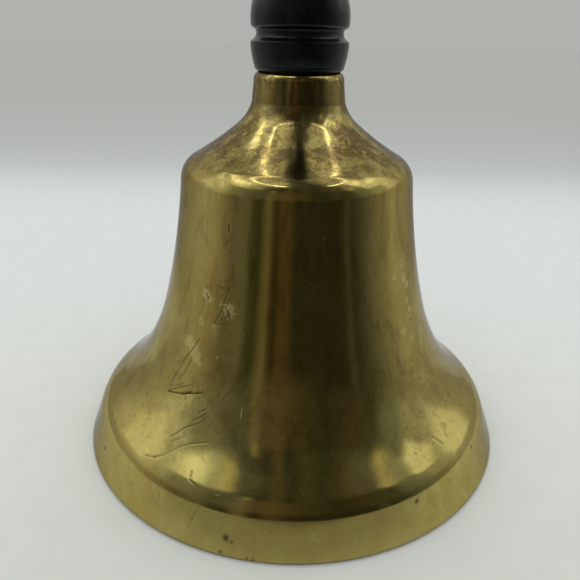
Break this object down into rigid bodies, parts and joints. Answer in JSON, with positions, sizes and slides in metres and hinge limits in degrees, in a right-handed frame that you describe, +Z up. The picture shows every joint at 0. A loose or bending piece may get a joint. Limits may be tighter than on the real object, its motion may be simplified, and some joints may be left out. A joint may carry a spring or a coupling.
{
  "type": "handbell",
  "caption": "Flared brass handbell with a steep lip band, round shoulder, turned black wooden handle held by a long eye bolt, and a ball clapper hanging from a link.",
  "frame": {"origin": "centre of the bell's mouth, in the plane the rim stands on", "axes": "+Z up the bell and the handle, -Y towards the viewer, +X to the viewer's right; the clapper's main swing is in the XZ plane"},
  "size_m": [0.127, 0.127, 0.2539],
  "materials": {
    "bell_brass": "polished brass, dulled and mottled by tarnish, scratched",
    "black_fibre": "matt black vulcanised fibre",
    "black_wood": "turned wood under satin black lacquer",
    "bolt_steel": "bright drawn steel",
    "washer_steel": "zinc plated steel",
    "nut_steel": "zinc plated steel",
    "finial_brass": "polished brass",
    "link_steel": "bright drawn steel wire",
    "clapper_brass": "dull turned brass"
  },
  "bodies": {
    "bell": {"bell_shell": "bell_brass", "seat_washer": "black_fibre", "handle": "black_wood", "eye_bolt": "bolt_steel", "crown_washer": "washer_steel", "lock_washer": "washer_steel", "crown_nut": "nut_steel", "finial_washer": "finial_brass", "finial_nut": "finial_brass"},
    "link": {"link_ring": "link_steel"},
    "clapper": {"clapper_shaft": "bolt_steel", "clapper_nut": "nut_steel", "clapper_ball": "clapper_brass"}
  },
  "joints": [
    {"name": "link_sway", "type": "hinge", "parent": "bell", "child": "link", "pos_m": [0, 0, 0.0725], "axis": [1, 0, 0], "range_deg": [-6, 6]},
    {"name": "clapper_swing", "type": "hinge", "parent": "link", "child": "clapper", "pos_m": [0, 0, 0.0669], "axis": [0, 1, 0], "range_deg": [-36.8, 36.8]}
  ]
}
